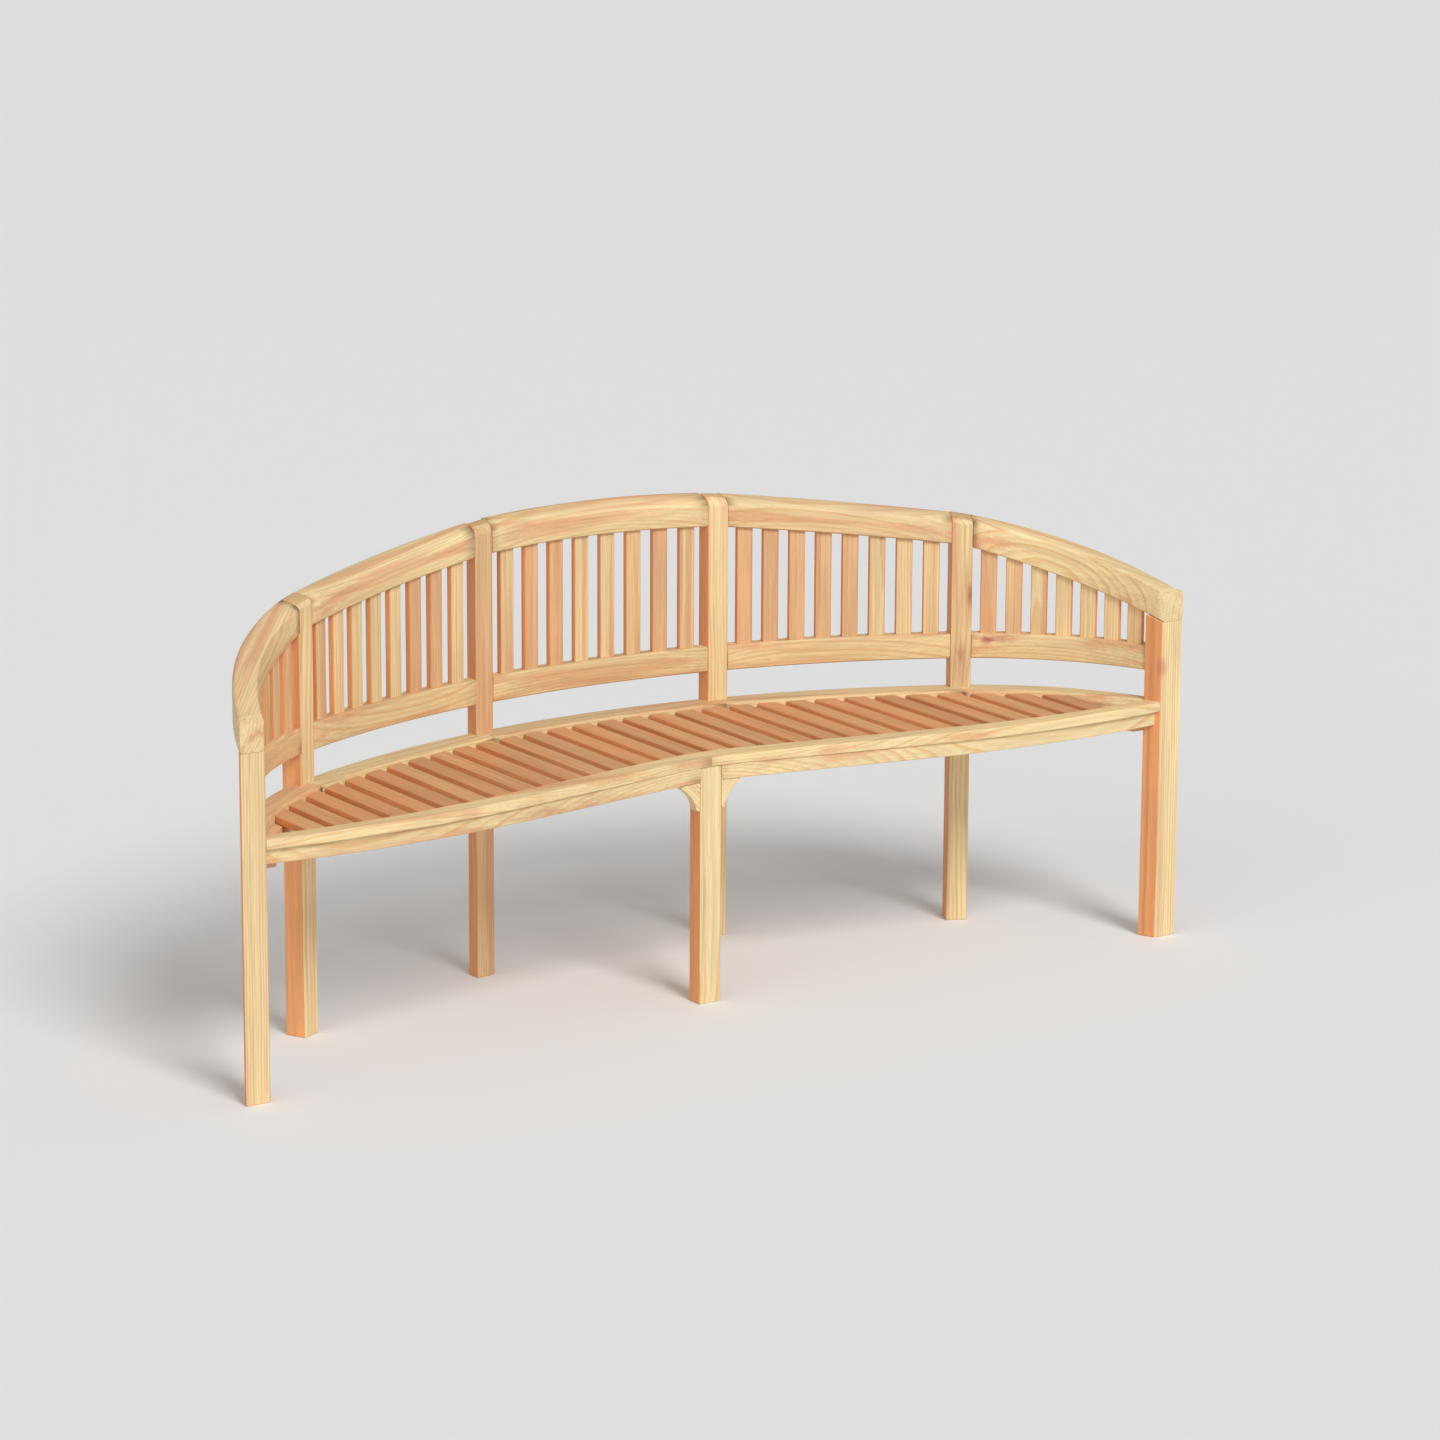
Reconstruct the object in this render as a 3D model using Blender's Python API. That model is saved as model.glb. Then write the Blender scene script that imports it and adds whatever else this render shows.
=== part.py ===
"""Curved garden bench in solid wood: seven legs, a back that follows an arc, and a slatted seat.

Metres, +Z up. +X runs along the bench, to the right for someone who faces it, and +Y runs to its back.
The design is drawn from a point on the floor midway between the front faces of the two end posts.
At the end everything moves together, so that the origin is the middle of the bench's footprint.
"""
import functools
import math

import bmesh
import bpy
from mathutils import Vector

# Fit between pieces
GAP = 0.0003

# Plan of the back, measured on the front faces of its rails
BACK_APEX = 0.478
BACK_RADIUS = 1.5
BACK_SWEEP = math.radians(27.5)
END_RADIUS = 0.525

# Plan of the seat's front edge: a small hump, a straight run and a long bulge
FRONT_APEX = 0.0905
FRONT_SLOPE = math.radians(10.5)
HUMP_RADIUS = 0.37
BULGE_RADIUS = 1.77
BULGE_START = 0.42

# Posts: where they stand, how their fronts and sides are turned, and their sections
POST_EASE = 0.0018
POST_TOP_PROUD = 0.001
INNER_POST_STATION = 0.255
INNER_POST_TURN = math.radians(9.7)
INNER_POST_SIDE_TURN = 0.0
INNER_POST_WIDTH = 0.041
INNER_POST_DEPTH = 0.033
OUTER_POST_STATION = 0.733
OUTER_POST_TURN = math.radians(26.0)
OUTER_POST_WIDTH = 0.0405
OUTER_POST_DEPTH = 0.042
END_POST_X = 0.9735
END_POST_WIDTH = 0.047
END_POST_DEPTH = 0.034
END_POST_LEAN = math.radians(25.0)
CENTRE_LEG_SETBACK = 0.0015
CENTRE_LEG_WIDTH = 0.045
CENTRE_LEG_DEPTH = 0.036

# Top rail: its heights at the middle and at each post, and how far its end bays bow up
TOP_RAIL_DEPTH = 0.043
TOP_RAIL_CREST = 0.036
TOP_RAIL_BACK_DROP = 0.002
TOP_RAIL_EASE = 0.003
UNDERSIDE_MIDDLE = 0.798
UNDERSIDE_INNER = 0.791
UNDERSIDE_OUTER = 0.735
UNDERSIDE_END = 0.612
UNDERSIDE_BOW = 0.002
FRONT_TOP_MIDDLE = 0.833
FRONT_TOP_INNER = 0.827
FRONT_TOP_OUTER = 0.7735
FRONT_TOP_END = 0.665
FRONT_TOP_BOW = 0.010
RISE_MIDDLE = 0.025
RISE_INNER = 0.0225
RISE_OUTER = 0.0165
RISE_END = 0.005
CROWN_STEPS = 5

# Lower rail of the back
LOWER_RAIL_BOTTOM = 0.5155
LOWER_RAIL_HEIGHT = 0.048
LOWER_RAIL_DEPTH = 0.028
LOWER_RAIL_EASE = 0.003

# Slats of the back
BACK_SLAT_WIDTH = 0.031
BACK_SLAT_THICKNESS = 0.012
BACK_SLAT_SETBACK = 0.008
BACK_SLAT_HOUSING = 0.011
BACK_SLAT_EASE = 0.0015
BACK_FILLET_THICKNESS = 0.006
CENTRE_BAY_SLATS = 8
MIDDLE_BAY_SLATS = 8
END_BAY_SLATS = 7

# Seat boards and slats
SEAT_TOP = 0.46
SEAT_BOARD_THICKNESS = 0.019
SEAT_BOARD_WIDTH = 0.043
SEAT_BOARD_EASE = 0.003
SEAT_SLAT_DROP = 0.005
SEAT_SLAT_WIDTH = 0.0375
SEAT_SLAT_PITCH = 0.0555
SEAT_SLAT_EASE = 0.002
SEAT_FILLET_WIDTH = 0.013
SEAT_FILLET_THICKNESS = 0.003
SLAT_END_STEPS = 2
SHORTEST_SEAT_SLAT = 0.09

# Rail behind the seat, which passes in front of the posts and carries the slats on a ledge
BACK_RAIL_LIP = 0.030
BACK_RAIL_END_LIP = 0.008
BACK_RAIL_TAPER_START = 0.80
BACK_RAIL_TAPER_END = 1.08
BACK_RAIL_OUTSIDE = 0.024
BACK_RAIL_HEIGHT = 0.060
BACK_RAIL_LEDGE = 0.016
BACK_RAIL_EASE = 0.004

# Rail under the seat's front board
FRONT_RAIL_HEIGHT = 0.027
FRONT_RAIL_SETBACK = 0.002
FRONT_RAIL_END_SETBACK = 0.010
FRONT_RAIL_LEDGE = 0.014
FRONT_RAIL_LEDGE_RUNOUT = 0.03
HIDDEN_EASE = 0.0015

# Brackets beside the centre leg, and the bearer behind it
BRACKET_WIDTH = 0.040
BRACKET_HEIGHT = 0.052
BRACKET_THICKNESS = 0.020
BRACKET_TOE = 0.007
BRACKET_HOLLOW = 0.0065
BRACKET_STEPS = 6
BEARER_WIDTH = 0.032
BEARER_HEIGHT = 0.036

# Tenons, measured from the shoulder, with a root inside the rail
TENON_THICKNESS = 0.012
TENON_LENGTH = 0.014
TENON_ROOT = 0.006
TENON_SETBACK = 0.016
TOP_TENON_RAISE = 0.008
TOP_TENON_HEIGHT = 0.020
LOWER_TENON_HEIGHT = 0.030
FRONT_TENON_HEIGHT = 0.015
BEARER_TENON_WIDTH = 0.018
BEARER_TENON_HEIGHT = 0.020
PEG_WIDTH = 0.020
PEG_HEIGHT = 0.024
GROOVE_OPENING = 0.002

# How finely curves are divided, and how far past its span a rail's end may lie
STATION_LENGTH = 0.034
END_STATION_LENGTH = 0.018
SPAN_MARGIN = 0.055
HALVINGS = 48

# Edges that turn by more than this are eased
EASED_ANGLE = math.radians(35.0)

WOOD = (0.80, 0.56, 0.31)
PALE_WOOD = (0.86, 0.66, 0.42)
WARM_WOOD = (0.72, 0.46, 0.23)
SATIN = 0.55

ALONG_X = Vector((1.0, 0.0))
ALONG_Y = Vector((0.0, 1.0))

pieces = {}
tongues = {}
pockets = {}
grooves = {}


def clear_scene():
    for item in list(bpy.data.objects):
        bpy.data.objects.remove(item, do_unlink=True)


def wood_material(name, colour):
    material = bpy.data.materials.new(name)
    material.use_nodes = True
    shader = material.node_tree.nodes["Principled BSDF"]
    shader.inputs["Base Color"].default_value = (*colour, 1.0)
    shader.inputs["Roughness"].default_value = SATIN
    shader.inputs["Metallic"].default_value = 0.0
    return material


def finish_object(name, shape):
    """Turns a bmesh into an object in the scene."""
    bmesh.ops.recalc_face_normals(shape, faces=shape.faces)
    mesh = bpy.data.meshes.new(name)
    shape.to_mesh(mesh)
    shape.free()
    item = bpy.data.objects.new(name, mesh)
    bpy.context.scene.collection.objects.link(item)
    return item


def add_piece(name, shape, colour=WOOD, ease=0.0):
    """A piece of the bench with its own material and, if asked, eased edges."""
    item = finish_object(name, shape)
    item.data.materials.append(wood_material(name, colour))
    if ease > 0.0:
        bevel = item.modifiers.new("eased_edges", "BEVEL")
        bevel.width = ease
        bevel.segments = 1
        bevel.limit_method = "ANGLE"
        bevel.angle_limit = EASED_ANGLE
    pieces[name] = item
    return item


# Plan curves

def end_arc_centre():
    change = BACK_RADIUS - END_RADIUS
    return Vector((change * math.sin(BACK_SWEEP), BACK_APEX - BACK_RADIUS + change * math.cos(BACK_SWEEP)))


def back_turn(station):
    """Turn of the back's tangent at an arc length from its middle."""
    arc_end = BACK_RADIUS * BACK_SWEEP
    length = abs(station)
    turn = min(length, arc_end) / BACK_RADIUS + max(length - arc_end, 0.0) / END_RADIUS
    return math.copysign(turn, station)


def back_track(station, offset):
    """A point of the back in plan, some distance behind the front faces of its rails."""
    turn = abs(back_turn(station))
    if abs(station) <= BACK_RADIUS * BACK_SWEEP:
        centre = Vector((0.0, BACK_APEX - BACK_RADIUS))
        radius = BACK_RADIUS + offset
    else:
        centre = end_arc_centre()
        radius = END_RADIUS + offset
    x = centre.x + radius * math.sin(turn)
    return Vector((math.copysign(x, station), centre.y + radius * math.cos(turn)))


def station_at_depth(depth):
    """Station at which the front faces of the back come down to a depth, in the end bay."""
    centre = end_arc_centre()
    turn = math.acos((depth - centre.y) / END_RADIUS)
    return BACK_RADIUS * BACK_SWEEP + (turn - BACK_SWEEP) * END_RADIUS


def last_station():
    """Station at which the back reaches the end post."""
    return station_at_depth(END_POST_DEPTH)


def front_edge(x):
    """Depth and slope of the seat's front edge."""
    distance = abs(x)
    hump_end = HUMP_RADIUS * math.sin(FRONT_SLOPE)
    if distance <= hump_end:
        slope = math.asin(distance / HUMP_RADIUS)
        return FRONT_APEX - HUMP_RADIUS * (1.0 - math.cos(slope)), -slope
    straight = min(distance, BULGE_START) - hump_end
    depth = FRONT_APEX - HUMP_RADIUS * (1.0 - math.cos(FRONT_SLOPE)) - straight * math.tan(FRONT_SLOPE)
    if distance <= BULGE_START:
        return depth, -FRONT_SLOPE
    middle = BULGE_START + BULGE_RADIUS * math.sin(FRONT_SLOPE)
    slope = math.asin((distance - middle) / BULGE_RADIUS)
    return depth + BULGE_RADIUS * (math.cos(FRONT_SLOPE) - math.cos(slope)), slope


def front_track(station, offset):
    """A point of the seat's front in plan, some distance behind its front edge."""
    depth, slope = front_edge(station)
    x = abs(station) - offset * math.sin(slope)
    return Vector((math.copysign(x, station), depth + offset * math.cos(slope)))


def blend(station, start, end, first, last):
    """A value that changes evenly from first to last between two stations."""
    share = (abs(station) - start) / (end - start)
    return first + (last - first) * min(max(share, 0.0), 1.0)


def board_width(station):
    """Width of the front board, which ends as deep as the end post."""
    end_width = END_POST_DEPTH - front_edge(END_POST_X)[0]
    return blend(station, BULGE_START, END_POST_X, SEAT_BOARD_WIDTH, end_width)


def back_rail_face(station):
    """Front face of the seat's back rail, which draws in towards the end posts."""
    return -blend(station, BACK_RAIL_TAPER_START, BACK_RAIL_TAPER_END, BACK_RAIL_LIP, BACK_RAIL_END_LIP)


# Heights

def along_back(station, middle, inner, outer, end, reach, bow=0.0):
    """A height of the top rail: set at the posts, rounded in the centre bay and bowed in the end bays."""
    length = abs(station)
    if length <= INNER_POST_STATION:
        share = length / INNER_POST_STATION
        return middle + (inner - middle) * share * share
    if length <= OUTER_POST_STATION:
        return blend(length, INNER_POST_STATION, OUTER_POST_STATION, inner, outer)
    share = blend(length, OUTER_POST_STATION, reach, 0.0, 1.0)
    return outer + (end - outer) * share + bow * 4.0 * share * (1.0 - share)


def underside(station):
    """Lower edge of the top rail, which falls as far as its front end."""
    reach = station_at_depth(0.0)
    return along_back(
        station, UNDERSIDE_MIDDLE, UNDERSIDE_INNER, UNDERSIDE_OUTER, UNDERSIDE_END, reach, UNDERSIDE_BOW
    )


def front_top(station):
    """Upper edge of the top rail's front face."""
    reach = station_at_depth(0.0)
    return along_back(
        station, FRONT_TOP_MIDDLE, FRONT_TOP_INNER, FRONT_TOP_OUTER, FRONT_TOP_END, reach, FRONT_TOP_BOW
    )


def crown(station, depth):
    """Outline of the rounded top, from the front face to the top of the back face."""
    low = front_top(station)
    rise = along_back(station, RISE_MIDDLE, RISE_INNER, RISE_OUTER, RISE_END, station_at_depth(0.0))
    points = []
    for step in range(CROWN_STEPS + 1):
        angle = 0.5 * math.pi * step / CROWN_STEPS
        offset = depth * TOP_RAIL_CREST / TOP_RAIL_DEPTH * (1.0 - math.cos(angle))
        points.append((offset, low + rise * math.sin(angle)))
    points.append((depth, low + rise - TOP_RAIL_BACK_DROP))
    return points


def board_underside():
    return SEAT_TOP - SEAT_BOARD_THICKNESS


# Sections of the rails, as outlines of (distance behind the track, height)

def eased(corners):
    """Cuts each corner of an outline by the ease that is given with it."""
    outline = []
    for index, (offset, height, ease) in enumerate(corners):
        here = Vector((offset, height))
        if ease == 0.0:
            outline.append((offset, height))
            continue
        for neighbour in (corners[index - 1], corners[(index + 1) % len(corners)]):
            way = (Vector(neighbour[:2]) - here).normalized()
            outline.append(tuple(here + way * ease))
    return outline


def top_rail_section(station):
    low = underside(station)
    top = crown(station, TOP_RAIL_DEPTH)
    corners = [(0.0, low, TOP_RAIL_EASE)]
    corners += [(offset, height, 0.0) for offset, height in top[:-1]]
    corners.append((*top[-1], TOP_RAIL_EASE))
    corners.append((TOP_RAIL_DEPTH, low, TOP_RAIL_EASE))
    return eased(corners)


def lower_rail_section(station):
    high = LOWER_RAIL_BOTTOM + LOWER_RAIL_HEIGHT
    return eased([
        (0.0, LOWER_RAIL_BOTTOM, LOWER_RAIL_EASE),
        (0.0, high, LOWER_RAIL_EASE),
        (LOWER_RAIL_DEPTH, high, LOWER_RAIL_EASE),
        (LOWER_RAIL_DEPTH, LOWER_RAIL_BOTTOM, LOWER_RAIL_EASE),
    ])


def seat_back_rail_section(station):
    face = back_rail_face(station)
    ledge = board_underside() - GAP
    low = SEAT_TOP - BACK_RAIL_HEIGHT
    return eased([
        (face, SEAT_TOP, BACK_RAIL_EASE),
        (face, ledge, 0.0),
        (face - BACK_RAIL_LEDGE, ledge, 0.0),
        (face - BACK_RAIL_LEDGE, low, HIDDEN_EASE),
        (BACK_RAIL_OUTSIDE, low, HIDDEN_EASE),
        (BACK_RAIL_OUTSIDE, SEAT_TOP, BACK_RAIL_EASE),
    ])


def seat_board_section(station):
    width = board_width(station)
    return eased([
        (0.0, board_underside(), HIDDEN_EASE),
        (0.0, SEAT_TOP, SEAT_BOARD_EASE),
        (width, SEAT_TOP, SEAT_BOARD_EASE),
        (width, board_underside(), 0.0),
    ])


def front_rail_section(station):
    last_slat = last_seat_slats()[-1] * SEAT_SLAT_PITCH + 0.5 * SEAT_SLAT_WIDTH
    front = blend(station, 0.0, END_POST_X, FRONT_RAIL_SETBACK, FRONT_RAIL_END_SETBACK)
    ledge = blend(station, last_slat, last_slat + FRONT_RAIL_LEDGE_RUNOUT, FRONT_RAIL_LEDGE, 0.0)
    back = board_width(station) + ledge
    high = board_underside() - GAP
    low = high - FRONT_RAIL_HEIGHT
    return eased([
        (front, low, HIDDEN_EASE),
        (front, high, 0.0),
        (back, high, 0.0),
        (back, low, HIDDEN_EASE),
    ])


# Members that follow a track between two planes, each a point in plan and a direction

def meet(track, offset_at, plane, low, high):
    """Station at which a line of a member crosses a plane, found by halving."""
    point, direction = plane
    normal = Vector((-direction.y, direction.x))

    def ahead(station):
        return normal.dot(track(station, offset_at(station)) - point) > 0.0

    starts_ahead = ahead(low)
    for _ in range(HALVINGS):
        middle = 0.5 * (low + high)
        if ahead(middle) == starts_ahead:
            low = middle
        else:
            high = middle
    return 0.5 * (low + high)


def back_station(x):
    """Station at which the face of the seat's back rail crosses a line square to the bench."""
    return meet(back_track, back_rail_face, (Vector((x, 0.0)), ALONG_Y), -last_station(), last_station())


def mirrored(plane):
    point, direction = plane
    return Vector((-point.x, point.y)), Vector((-direction.x, direction.y))


def loft(shape, track, section, start, end, span, step_length, side=1.0):
    """Adds a curved bar. Each line of its section is trimmed at the two planes."""
    middle = 0.5 * (span[0] + span[1])
    limits = []
    for row in range(len(section(middle))):
        def offset_at(station, row=row):
            return section(station)[row][0]

        first = meet(track, offset_at, start, span[0] - SPAN_MARGIN, middle)
        last = meet(track, offset_at, end, middle, span[1] + SPAN_MARGIN)
        limits.append((first, last))
    steps = max(2, math.ceil((span[1] - span[0]) / step_length))
    rings = []
    for step in range(steps + 1):
        ring = []
        for row, (first, last) in enumerate(limits):
            station = first + (last - first) * step / steps
            offset, height = section(station)[row]
            point = track(station, offset)
            ring.append(shape.verts.new((side * point.x, point.y, height)))
        rings.append(ring)
    join_rings(shape, rings)


def member(name, track, section, start, end, span, step_length, side=1.0, colour=WOOD):
    """A curved rail."""
    shape = bmesh.new()
    loft(shape, track, section, start, end, span, step_length, side)
    add_piece(name, shape, colour)


def join_rings(shape, rings):
    """Skins a row of rings and closes both ends."""
    for before, after in zip(rings, rings[1:]):
        for index, vertex in enumerate(before):
            following = (index + 1) % len(before)
            shape.faces.new((vertex, before[following], after[following], after[index]))
    shape.faces.new(rings[0])
    shape.faces.new(reversed(rings[-1]))


def sloping_prism(shape, plan, low, height_at, side):
    """Adds an upright prism whose top has its own height over each point of the plan."""
    rings = [
        [shape.verts.new((side * point.x, point.y, low)) for point in plan],
        [shape.verts.new((side * point.x, point.y, height_at(point))) for point in plan],
    ]
    join_rings(shape, rings)


def prism(shape, plan, low, high, side=1.0):
    """Adds an upright prism over a plan outline."""
    sloping_prism(shape, plan, low, lambda point: high, side)


def block(shape, centre, along, length, width, low, high, side=1.0):
    """Adds a block whose length runs along a direction in plan."""
    reach = along * (0.5 * length)
    across = Vector((-along.y, along.x)) * (0.5 * width)
    plan = [
        centre - reach - across,
        centre + reach - across,
        centre + reach + across,
        centre - reach + across,
    ]
    prism(shape, plan, low, high, side)


class Post:
    """Plan of a post: its front face, and sides that may be turned by another angle."""

    def __init__(self, front, turn, side_turn, width, depth):
        self.front = front
        self.run = Vector((math.cos(turn), -math.sin(turn)))
        self.back = Vector((math.sin(side_turn), math.cos(side_turn)))
        self.width = width
        self.depth = depth

    def point(self, side, depth):
        """A point on the left (-1) or right (1) side, or midway (0), at a depth along the side."""
        return self.front + self.run * (0.5 * side * self.width) + self.back * depth

    def outward(self, side):
        return Vector((self.back.y, -self.back.x)) * side

    def plane(self, side):
        """The plane of a side face, moved out by the gap."""
        return self.point(side, 0.0) + self.outward(side) * GAP, self.back

    def plan(self, clearance=0.0):
        """Outline, grown on every face by a clearance."""
        wide = self.run * clearance
        deep = self.back * clearance
        return [
            self.point(-1, 0.0) - wide - deep,
            self.point(1, 0.0) + wide - deep,
            self.point(1, self.depth) + wide + deep,
            self.point(-1, self.depth) - wide + deep,
        ]


def inner_post():
    front = back_track(INNER_POST_STATION, 0.0)
    return Post(front, INNER_POST_TURN, INNER_POST_SIDE_TURN, INNER_POST_WIDTH, INNER_POST_DEPTH)


def outer_post():
    front = back_track(OUTER_POST_STATION, 0.0)
    return Post(front, OUTER_POST_TURN, OUTER_POST_TURN, OUTER_POST_WIDTH, OUTER_POST_DEPTH)


def end_post():
    slant = END_POST_DEPTH / math.cos(END_POST_LEAN)
    return Post(Vector((END_POST_X, 0.0)), 0.0, -END_POST_LEAN, END_POST_WIDTH, slant)


def centre_leg():
    front = Vector((0.0, FRONT_APEX + CENTRE_LEG_SETBACK))
    return Post(front, 0.0, 0.0, CENTRE_LEG_WIDTH, CENTRE_LEG_DEPTH)


def build_back_post(name, post, station, side):
    """A post from the floor up to the rounded top of the back."""
    rings = []
    shape = bmesh.new()
    for edge in (-1, 1):
        outline = [(0.0, 0.0)]
        for offset, height in crown(station + 0.5 * edge * post.width, post.depth):
            outline.append((offset, height + POST_TOP_PROUD))
        outline.append((post.depth, 0.0))
        ring = []
        for offset, height in outline:
            point = post.point(edge, offset)
            ring.append(shape.verts.new((side * point.x, point.y, height)))
        rings.append(ring)
    join_rings(shape, rings)
    add_piece(name, shape, PALE_WOOD, POST_EASE)


def build_straight_post(name, post, height, side=1.0):
    shape = bmesh.new()
    prism(shape, post.plan(), 0.0, height, side)
    add_piece(name, shape, PALE_WOOD, POST_EASE)


def build_sloping_post(name, post, height_at, side):
    shape = bmesh.new()
    sloping_prism(shape, post.plan(), 0.0, height_at, side)
    add_piece(name, shape, PALE_WOOD, POST_EASE)


def end_post_top(point):
    """Height of the end post's sloping top, which meets the top rail at its front and at its back."""
    rise = underside(last_station()) - UNDERSIDE_END
    return UNDERSIDE_END + rise * point.y / END_POST_DEPTH


# Joints

def tool_shape(store, name):
    if name not in store:
        store[name] = bmesh.new()
    return store[name]


def tenon(rail, post, shoulder, into, width, low, high, side=1.0):
    """Adds a tenon to a rail and its mortise to a post. The tenon points into the post."""
    tongue_middle = shoulder + into * (0.5 * (TENON_LENGTH - TENON_ROOT))
    block(
        tool_shape(tongues, rail), tongue_middle, into, TENON_LENGTH + TENON_ROOT, width, low, high, side
    )
    pocket_middle = shoulder + into * (0.5 * (TENON_LENGTH - TENON_ROOT + GAP))
    block(
        tool_shape(pockets, post), pocket_middle, into, TENON_LENGTH + TENON_ROOT + GAP,
        width + 2.0 * GAP, low - GAP, high + GAP, side,
    )


def side_tenon(rail, name, post, edge, low, high, side=1.0, depth=TENON_SETBACK):
    """A tenon square to a post's side face, at a depth behind its front face."""
    shoulder = post.point(edge, depth)
    tenon(rail, name, shoulder, -post.outward(edge), TENON_THICKNESS, low, high, side)


def apply_tools():
    """Joins tenons and fillets to their pieces, then cuts the mortises and housings, then the grooves."""
    for store, label, operation in (
        (tongues, "tenons", "UNION"),
        (pockets, "mortises", "DIFFERENCE"),
        (grooves, "grooves", "DIFFERENCE"),
    ):
        for name, shape in store.items():
            tool = finish_object(label + "_" + name, shape)
            tool.hide_render = True
            tool.display_type = "WIRE"
            modifier = pieces[name].modifiers.new(label, "BOOLEAN")
            modifier.operation = operation
            modifier.solver = "EXACT"
            modifier.object = tool


# Posts and rails of the back

SIDES = ((1.0, "right"), (-1.0, "left"))


def build_posts():
    for side, word in SIDES:
        build_back_post("back_post_inner_" + word, inner_post(), INNER_POST_STATION, side)
        build_back_post("back_post_outer_" + word, outer_post(), OUTER_POST_STATION, side)
        build_sloping_post("end_post_" + word, end_post(), end_post_top, side)
    build_straight_post("front_leg_centre", centre_leg(), board_underside() - GAP)


def build_back_rails(kind, section):
    """Five rails between the posts. The end ones run to the end posts."""
    inner = inner_post()
    outer = outer_post()
    last = last_station()
    if kind == "top_rail":
        end = (Vector((0.0, 0.0)), ALONG_X)
        last += END_POST_DEPTH
    else:
        end = (Vector((0.0, END_POST_DEPTH + GAP)), ALONG_X)
    centre_span = (-INNER_POST_STATION, INNER_POST_STATION)
    member(
        kind + "_centre", back_track, section, mirrored(inner.plane(-1)), inner.plane(-1),
        centre_span, STATION_LENGTH,
    )
    for side, word in SIDES:
        member(
            kind + "_middle_" + word, back_track, section, inner.plane(1), outer.plane(-1),
            (INNER_POST_STATION, OUTER_POST_STATION), STATION_LENGTH, side,
        )
        member(
            kind + "_end_" + word, back_track, section, outer.plane(1), end,
            (OUTER_POST_STATION, last), END_STATION_LENGTH, side,
        )


def join_back_rails(kind, raise_at, height):
    """Tenons of the back's rails into the sides of the four back posts."""
    for side, word in SIDES:
        for post, post_name, station, inward, outward in (
            (inner_post(), "back_post_inner_", INNER_POST_STATION, "_centre", "_middle_" + word),
            (outer_post(), "back_post_outer_", OUTER_POST_STATION, "_middle_" + word, "_end_" + word),
        ):
            for edge, rail in ((-1, inward), (1, outward)):
                low = raise_at(station + 0.5 * edge * post.width)
                side_tenon(kind + rail, post_name + word, post, edge, low, low + height, side)


def join_end_posts():
    """The lower rail's tenon in each end post, and the post's top and peg in the top rail."""
    post = end_post()
    station = last_station()
    low = LOWER_RAIL_BOTTOM + 0.5 * (LOWER_RAIL_HEIGHT - LOWER_TENON_HEIGHT)
    shoulder = Vector((back_track(station, TENON_SETBACK).x, END_POST_DEPTH))
    for side, word in SIDES:
        tenon(
            "lower_rail_end_" + word, "end_post_" + word, shoulder, -ALONG_Y, TENON_THICKNESS,
            low, low + LOWER_TENON_HEIGHT, side,
        )
        peg = post.point(0, 0.5 * post.depth)
        peg_shape = tool_shape(tongues, "end_post_" + word)
        block(
            peg_shape, peg, ALONG_X, PEG_WIDTH, TENON_THICKNESS,
            UNDERSIDE_END - TENON_ROOT, UNDERSIDE_END + PEG_HEIGHT, side,
        )
        pocket_shape = tool_shape(pockets, "top_rail_end_" + word)
        block(
            pocket_shape, peg, ALONG_X, PEG_WIDTH + 2.0 * GAP, TENON_THICKNESS + 2.0 * GAP,
            UNDERSIDE_END - TENON_ROOT, UNDERSIDE_END + PEG_HEIGHT + GAP, side,
        )
        sloping_prism(
            tool_shape(grooves, "top_rail_end_" + word), post.plan(GAP),
            UNDERSIDE_END - TENON_ROOT, lambda point: end_post_top(point) + GAP, side,
        )


# Slats of the back

def back_slat_stations(first, last, count):
    """Middles of evenly spaced slats in a bay."""
    space = (last - first - count * BACK_SLAT_WIDTH) / (count + 1)
    pitch = space + BACK_SLAT_WIDTH
    return [first + pitch * (index + 1) - 0.5 * BACK_SLAT_WIDTH for index in range(count)]


def back_slat_blocks(shape, stations, side, clearance):
    """Upright slats, let into the rails above and below them."""
    for station in stations:
        turn = back_turn(station)
        centre = back_track(station, BACK_SLAT_SETBACK + 0.5 * BACK_SLAT_THICKNESS)
        low = LOWER_RAIL_BOTTOM + LOWER_RAIL_HEIGHT - BACK_SLAT_HOUSING
        block(
            shape, centre, Vector((math.cos(turn), -math.sin(turn))),
            BACK_SLAT_WIDTH + 2.0 * clearance, BACK_SLAT_THICKNESS + 2.0 * clearance,
            low - clearance, underside(station) + BACK_SLAT_HOUSING + clearance, side,
        )


def back_fillet(shape, first, last, side, clearance, high):
    """The fillet that spaces the slats of a bay in the groove of the lower rail."""
    middle = BACK_SLAT_SETBACK + 0.5 * BACK_SLAT_THICKNESS
    half = 0.5 * BACK_FILLET_THICKNESS + clearance
    low = LOWER_RAIL_BOTTOM + LOWER_RAIL_HEIGHT - BACK_SLAT_HOUSING - clearance

    def section(station):
        return [(middle - half, low), (middle - half, high), (middle + half, high), (middle + half, low)]

    planes = []
    for station in (first, last):
        turn = back_turn(station)
        planes.append((back_track(station, 0.0), Vector((math.sin(turn), math.cos(turn)))))
    loft(shape, back_track, section, planes[0], planes[1], (first, last), STATION_LENGTH, side)


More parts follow.
